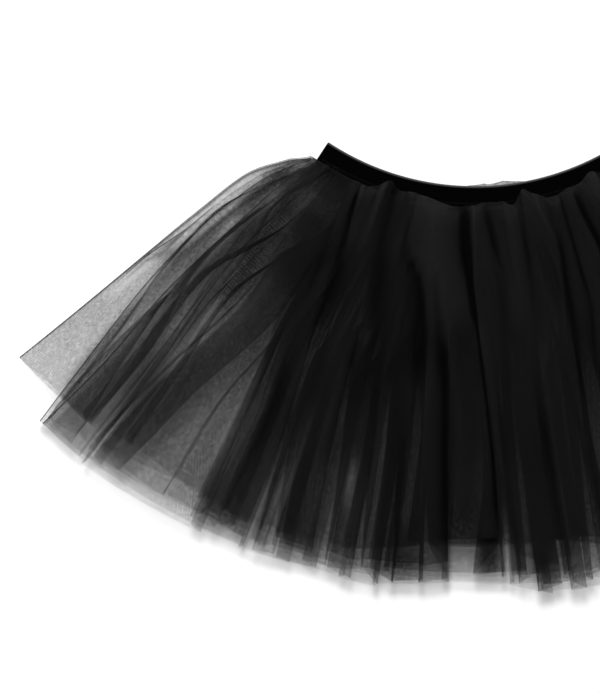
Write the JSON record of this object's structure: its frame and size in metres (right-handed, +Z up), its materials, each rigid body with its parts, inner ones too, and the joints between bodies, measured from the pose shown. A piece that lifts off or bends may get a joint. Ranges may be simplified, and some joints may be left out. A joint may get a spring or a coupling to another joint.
{
  "type": "ballet tutu",
  "caption": "Soft tulle ballet tutu with an elastic waistband, laid flat as a fan, with layered pleated hems and puffed gathers at the waist.",
  "frame": {"origin": "middle of the laid-out garment's footprint, on the surface it lies on", "axes": "+X along the waistband, +Y from the hem towards the waist, +Z up from the surface through the back and then the front"},
  "size_m": [0.9176, 0.4556, 0.0263],
  "materials": {
    "elastic": "matt woven elastic",
    "tulle": "sheer black net"
  },
  "bodies": {
    "root": {"waistband": "elastic", "tulle_outer": "tulle", "tulle_middle": "tulle", "tulle_inner": "tulle"}
  },
  "joints": []
}
